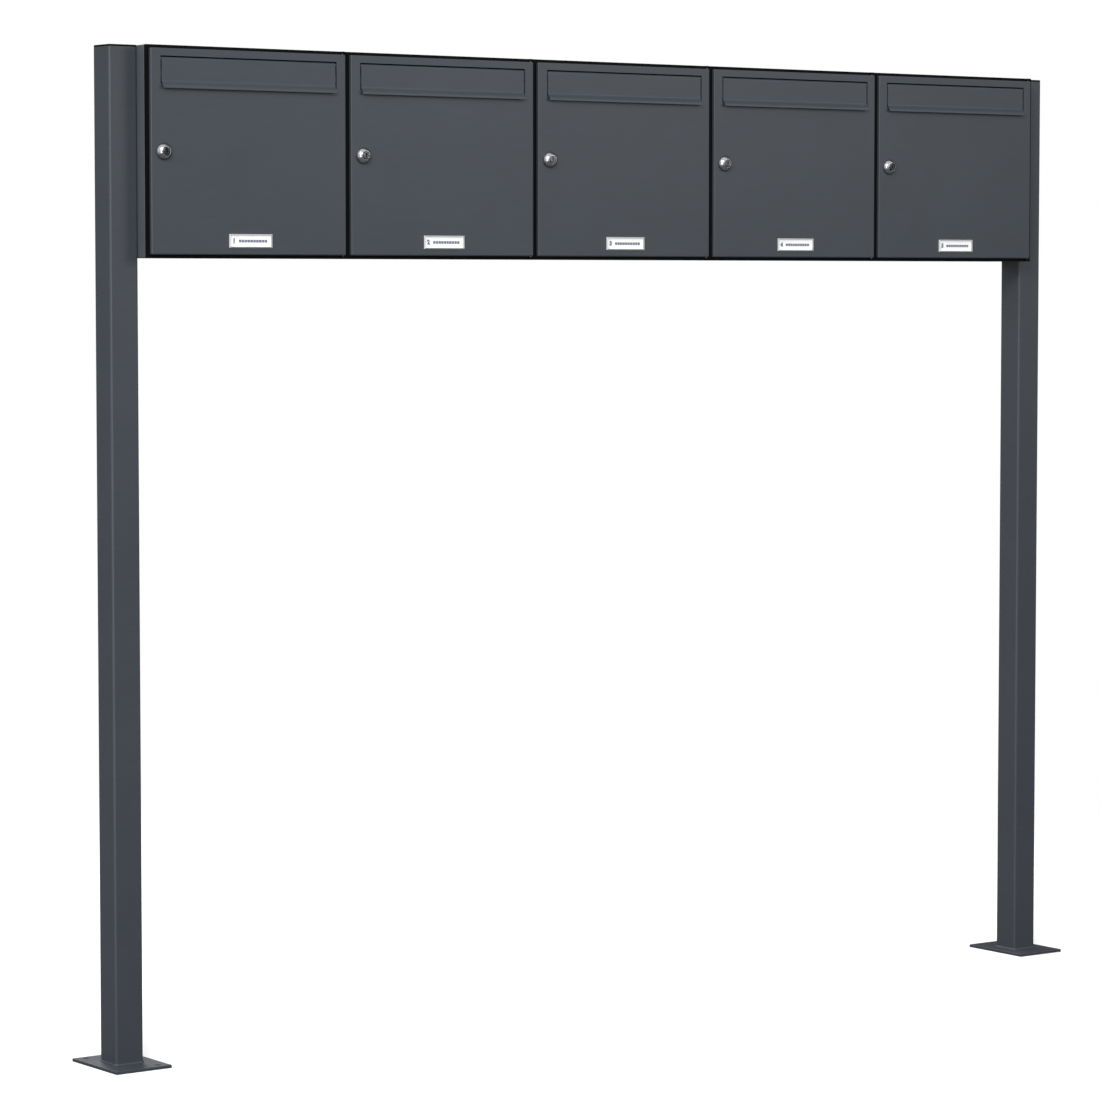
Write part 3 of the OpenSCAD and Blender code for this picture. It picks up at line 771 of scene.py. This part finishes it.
def make_lock_body(i):
    """Domed collar and threaded barrel, turned in one piece, with the nut behind the door."""
    at = Vector(joints[f"lock_turn_{i}"]["pos_m"])
    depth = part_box(f"lock_body_{i}")[1].y - at.y
    # The dome is part of a sphere through the collar's edge and the rim of its nose.
    drop = (COLLAR_R ** 2 - NOSE_R ** 2 + COLLAR_EDGE ** 2 - COLLAR_OUT ** 2) / (2 * (COLLAR_OUT - COLLAR_EDGE))
    sphere_r = sqrt(COLLAR_R ** 2 + (COLLAR_EDGE + drop) ** 2)
    centre = at + Vector((0, drop, 0))
    rise = acos((COLLAR_EDGE + drop) / sphere_r) - acos((COLLAR_OUT + drop) / sphere_r)
    recess_r, recess_in = PLUG_HEAD_R + 0.15 * MM, COLLAR_OUT - PLUG_HEAD_T + PLUG_PROUD - 0.05 * MM
    bore_r = PLUG_R + 0.08 * MM
    bm = bmesh.new()

    def ring_point(radius, out):
        return bm.verts.new(at + Vector((radius, -out, 0)))

    edge_vert = ring_point(COLLAR_R, COLLAR_EDGE)
    nose = bmesh.ops.spin(bm, geom=[edge_vert], cent=centre, axis=(0, 0, 1), angle=-rise, steps=14)["geom_last"][0]
    line = [nose, ring_point(recess_r, COLLAR_OUT), ring_point(recess_r, recess_in), ring_point(bore_r, recess_in),
            ring_point(bore_r, -depth), ring_point(BARREL_THREAD_R, -depth), ring_point(BARREL_THREAD_R, 0),
            ring_point(COLLAR_R, 0), edge_vert]
    for a, b in zip(line, line[1:]):
        bm.edges.new((a, b))
    bmesh.ops.spin(bm, geom=bm.verts[:] + bm.edges[:], cent=at, axis=(0, 1, 0), angle=tau, steps=72, use_merge=True)
    flats = bmesh.new()
    for side in (-1, 1):
        near, far = side * BARREL_FLATS / 2, side * COLLAR_R * 2
        block(flats, at + Vector((min(near, far), 0, -COLLAR_R)), at + Vector((max(near, far), depth + PAST, COLLAR_R)))
    bm = combine(bm, flats, "DIFFERENCE")
    soften(bm, 0.3 * MM, 3, 35)
    nut, bore = bmesh.new(), bmesh.new()
    nut_front = at + Vector((0, DOOR_SHEET, 0))
    hex_head(nut, nut_front, nut_front + Vector((0, 4 * MM, 0)), 24 * MM)
    rod(bore, at, at + Vector((0, 20 * MM, 0)), BARREL_THREAD_R + 0.05 * MM, 48)
    pour(bm, combine(nut, bore, "DIFFERENCE"))
    piece(f"lock_body_{i}_turned", bm, chrome, f"door_{i}", [f"lock_body_{i}"], 35)


def make_lock_plug(i):
    """Turning plug: a flat head with its keyway, and a square tail for the cam."""
    at = Vector(joints[f"lock_turn_{i}"]["pos_m"])
    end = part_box(f"lock_plug_{i}")[1].y
    barrel_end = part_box(f"lock_body_{i}")[1].y
    face = at.y - COLLAR_OUT - PLUG_PROUD
    half_tail = 4 * MM
    bm, core, tail, slot = bmesh.new(), bmesh.new(), bmesh.new(), bmesh.new()
    rod(bm, (at.x, face, at.z), (at.x, face + PLUG_HEAD_T, at.z), PLUG_HEAD_R, 64)
    bm.normal_update()
    round_edges(bm, facing(bm, (0, -1, 0)).edges, 1.5 * MM, 5)
    rod(core, (at.x, face + PLUG_HEAD_T / 2, at.z), (at.x, barrel_end, at.z), PLUG_R, 64)
    block(tail, (at.x - half_tail, barrel_end - 2 * MM, at.z - half_tail), (at.x + half_tail, end, at.z + half_tail))
    bm = combine(bm, core, "UNION")
    bm = combine(bm, tail, "UNION")
    # The keyway has a step on one side, which guides the key.
    block(slot, (at.x - 0.9 * MM, face - PAST, at.z - 4.2 * MM), (at.x + 0.3 * MM, face + 10 * MM, at.z + 4.2 * MM))
    block(slot, (at.x - 0.3 * MM, face - PAST, at.z - 1.6 * MM), (at.x + 0.9 * MM, face + 10 * MM, at.z + 4.2 * MM))
    rod(slot, (at.x, end - 6 * MM, at.z), (at.x, end + PAST, at.z), 2.22 * MM, 24)
    bm = combine(bm, slot, "DIFFERENCE")
    soften(bm, 0.25 * MM, 3, 40)
    piece(f"lock_plug_{i}_turned", bm, plug_metal, f"lock_{i}", [f"lock_plug_{i}"], 35)


def make_lock_cam(i):
    """Stamped cam on the plug's tail, hanging down when unlocked, and the screw that holds it."""
    at = Vector(joints[f"lock_turn_{i}"]["pos_m"])
    low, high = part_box(f"lock_cam_{i}")
    thick, half_w, head_t, play = 2.5 * MM, 8 * MM, 2.5 * MM, 0.05 * MM
    front = high.y - head_t - play - thick
    back = front + thick
    bm, rest, hole = bmesh.new(), bmesh.new(), bmesh.new()
    foot = low.z + half_w
    rod(bm, (at.x, front, at.z), (at.x, back, at.z), half_w, 48)
    block(rest, (at.x - half_w, front, foot), (at.x + half_w, back, at.z))
    bm = combine(bm, rest, "UNION")
    toe = bmesh.new()
    rod(toe, (at.x, front, foot), (at.x, back, foot), half_w, 48)
    bm = combine(bm, toe, "UNION")
    block(hole, (at.x - 4.05 * MM, front - PAST, at.z - 4.05 * MM), (at.x + 4.05 * MM, back + PAST, at.z + 4.05 * MM))
    bm = combine(bm, hole, "DIFFERENCE")
    soften(bm, 0.35 * MM, 3, 50)
    pan_screw(bm, Vector((at.x, back + play, at.z)), (0, 1, 0), 5 * MM, head_t, 2.2 * MM, 7 * MM)
    piece(f"lock_cam_{i}_stamped", bm, zinc, f"lock_{i}", [f"lock_cam_{i}"])


# ---- Name plates ----

def make_name_holder(i):
    """Clear cover with broad bevels, hollowed behind for its card."""
    low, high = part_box(f"name_holder_{i}")
    edge, bevel, margin, pocket = 1 * MM, 2 * MM, 1.6 * MM, 1.1 * MM
    bm = bmesh.new()
    block(bm, (low.x, high.y - edge, low.z), high)
    front = facing(bm, (0, -1, 0))
    bmesh.ops.inset_region(bm, faces=[front], thickness=bevel)
    bmesh.ops.translate(bm, vec=(0, low.y + edge - high.y, 0), verts=front.verts)
    bm.normal_update()
    back = facing(bm, (0, 1, 0))
    bmesh.ops.inset_region(bm, faces=[back], thickness=margin)
    grown = bmesh.ops.extrude_face_region(bm, geom=[back])["geom"]
    bmesh.ops.delete(bm, geom=[back], context="FACES_ONLY")
    floor = next(g for g in grown if isinstance(g, bmesh.types.BMFace))
    bmesh.ops.translate(bm, vec=(0, -pocket, 0), verts=floor.verts)
    soften(bm, 0.25 * MM, 3, 25)
    cover = piece(f"name_holder_{i}_bevelled", bm, acrylic, f"door_{i}", [f"name_holder_{i}"])
    cover.data.materials.append(acrylic_bevel)
    for polygon in cover.data.polygons:
        polygon.material_index = 0 if abs(polygon.normal.y) > 0.97 else 1


def make_name_card(i):
    """Card with a generic number and a broken line where a name would stand."""
    low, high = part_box(f"name_card_{i}")
    bm = bmesh.new()
    block(bm, low, high)
    soften(bm, 0.08 * MM, 2)
    piece(f"name_card_{i}_cut", bm, card_stock, f"door_{i}", [f"name_card_{i}"])

    digit = bpy.data.curves.new("digit", "FONT")
    digit.body = str(i)
    digit.size = 10 * MM
    digit.offset = 0.75 * MM
    digit.extrude = 0.02 * MM
    digit.align_x = "CENTER"
    digit.align_y = "CENTER"
    holder = bpy.data.objects.new("digit", digit)
    bpy.context.scene.collection.objects.link(holder)
    mesh = bpy.data.meshes.new_from_object(holder.evaluated_get(bpy.context.evaluated_depsgraph_get()))
    bpy.data.curves.remove(digit)
    bm = bmesh.new()
    bm.from_mesh(mesh)
    bpy.data.meshes.remove(mesh)
    middle = (low + high) / 2
    print_y = low.y - 0.02 * MM
    stand = Matrix.Translation((low.x + 7 * MM, print_y, middle.z)) @ Matrix.Rotation(pi / 2, 4, "X")
    bmesh.ops.transform(bm, matrix=stand, verts=bm.verts)
    dash_w, dash_h, dash_gap, count = 4.6 * MM, 4.4 * MM, 0.7 * MM, 10
    for k in range(count):
        x = low.x + 16 * MM + k * (dash_w + dash_gap)
        block(bm, (x, print_y - 0.02 * MM, middle.z - dash_h / 2), (x + dash_w, print_y + 0.02 * MM, middle.z + dash_h / 2))
    piece(f"name_print_{i}", bm, ink, f"door_{i}")


# ---- Build ----

make_post(-1, "post_left")
make_post(1, "post_right")
make_weld("weld_left", "post_left", "foot_plate_left")
make_weld("weld_right", "post_right", "foot_plate_right")
make_foot_plate("foot_plate_left")
make_foot_plate("foot_plate_right")
make_caps()
make_bolts()
make_joining_screws()
make_hinge_pins()
for i in boxes:
    make_casing(i)
    make_front_frame(i)
    make_door(i)
    make_flap(i)
    make_flap_rod(i)
    make_lock_body(i)
    make_lock_plug(i)
    make_lock_cam(i)
    make_name_holder(i)
    make_name_card(i)


# ---- Stage ----

def studio_floor():
    """Pale floor that fades out into the white surroundings, and isn't seen from below. It sends little
    light back up."""
    radius, fade_start = 3.2, 1.6
    material, tree, place = new_material("pale_studio_floor")
    distance = add(tree, "ShaderNodeVectorMath", {0: place}, operation="LENGTH")
    fade = add(tree, "ShaderNodeMapRange", {"Value": distance.outputs["Value"], "From Min": fade_start,
                                            "From Max": radius}, interpolation_type="SMOOTHSTEP")
    matt = add(tree, "ShaderNodeBsdfDiffuse", {"Color": paint("#FFFFFF")})
    dim = add(tree, "ShaderNodeBsdfDiffuse", {"Color": paint("#6E6E6E")})
    rays = add(tree, "ShaderNodeLightPath")
    facing_eye = add(tree, "ShaderNodeMixShader", {0: rays.outputs["Is Camera Ray"], 1: dim.outputs["BSDF"],
                                                   2: matt.outputs["BSDF"]})
    clear = add(tree, "ShaderNodeBsdfTransparent")
    under = add(tree, "ShaderNodeNewGeometry").outputs["Backfacing"]
    hidden = add(tree, "ShaderNodeMath", {0: fade.outputs["Result"], 1: under}, operation="MAXIMUM")
    mixed = add(tree, "ShaderNodeMixShader", {0: hidden.outputs["Value"], 1: facing_eye.outputs["Shader"],
                                              2: clear.outputs["BSDF"]})
    add(tree, "ShaderNodeOutputMaterial", {"Surface": mixed.outputs["Shader"]})
    bm = bmesh.new()
    bmesh.ops.create_circle(bm, cap_ends=True, segments=96, radius=radius)
    mesh = bpy.data.meshes.new("studio_floor")
    bm.to_mesh(mesh)
    bm.free()
    mesh.materials.append(material)
    floor = bpy.data.objects.new("studio_floor", mesh)
    bpy.context.scene.collection.objects.link(floor)


def studio_world():
    """White to the eye, and for lighting bright above and to the left and dim below and to the right."""
    world = bpy.data.worlds.new("studio")
    bpy.context.scene.world = world
    world.use_nodes = True
    tree = world.node_tree
    tree.nodes.clear()
    toward = add(tree, "ShaderNodeTexCoord").outputs["Generated"]
    bright_side = Vector((-0.62, -0.3, 0.72)).normalized()
    lean = add(tree, "ShaderNodeVectorMath", {0: toward, 1: bright_side}, operation="DOT_PRODUCT")
    level = add(tree, "ShaderNodeMapRange", {"Value": lean.outputs["Value"], "From Min": -0.1, "From Max": 0.95,
                                             "To Min": 0.1, "To Max": 1.3}, interpolation_type="SMOOTHSTEP")
    light = add(tree, "ShaderNodeBackground", {"Color": paint("#FFFFFF"), "Strength": level.outputs["Result"]})
    seen = add(tree, "ShaderNodeBackground", {"Color": paint("#FFFFFF"), "Strength": 1.0})
    rays = add(tree, "ShaderNodeLightPath")
    mixed = add(tree, "ShaderNodeMixShader", {0: rays.outputs["Is Camera Ray"], 1: light.outputs["Background"],
                                              2: seen.outputs["Background"]})
    add(tree, "ShaderNodeOutputWorld", {"Surface": mixed.outputs["Shader"]})


def softbox(name, at, target, size, power, height=None):
    """A round soft light, or an upright strip where a height is given."""
    lamp = bpy.data.lights.new(name, "AREA")
    lamp.shape = "RECTANGLE" if height else "DISK"
    lamp.size = size
    if height:
        lamp.size_y = height
    lamp.energy = power
    made = bpy.data.objects.new(name, lamp)
    made.location = at
    made.rotation_euler = (Vector(target) - Vector(at)).to_track_quat("-Z", "Y").to_euler()
    bpy.context.scene.collection.objects.link(made)


studio_floor()
studio_world()
middle = (cad_box[0] + cad_box[1]) / 2
door_height = (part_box("door_1")[0].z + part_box("door_1")[1].z) / 2
softbox("key", (-4.2, -3.6, 4.4), (middle.x, middle.y, door_height), 2.4, 260)
softbox("fill", (3.5, -5.0, 3.0), (middle.x, middle.y, door_height), 3.0, 90)
softbox("back", (0.5, 4.8, 3.6), (middle.x, middle.y, door_height), 3.0, 120)
softbox("strip", (-5.2, -3.8, 0.8), (cad_box[0].x, middle.y, middle.z), 0.6, 45, 2.4)

# The camera stands to the left of the row at chest height, with a long lens.
camera = bpy.data.cameras.new("camera")
camera.sensor_width = 36
camera.lens = 133.8
camera.clip_end = 100
eye = bpy.data.objects.new("camera", camera)
eye.location = (-4.160, -5.562, 1.233)
yaw, pitch = radians(36.03), radians(3.753)
look = Vector((sin(yaw) * cos(pitch), cos(yaw) * cos(pitch), -sin(pitch)))
eye.rotation_euler = look.to_track_quat("-Z", "Y").to_euler()
bpy.context.scene.collection.objects.link(eye)
bpy.context.scene.camera = eye
bpy.context.scene.view_settings.view_transform = "Standard"
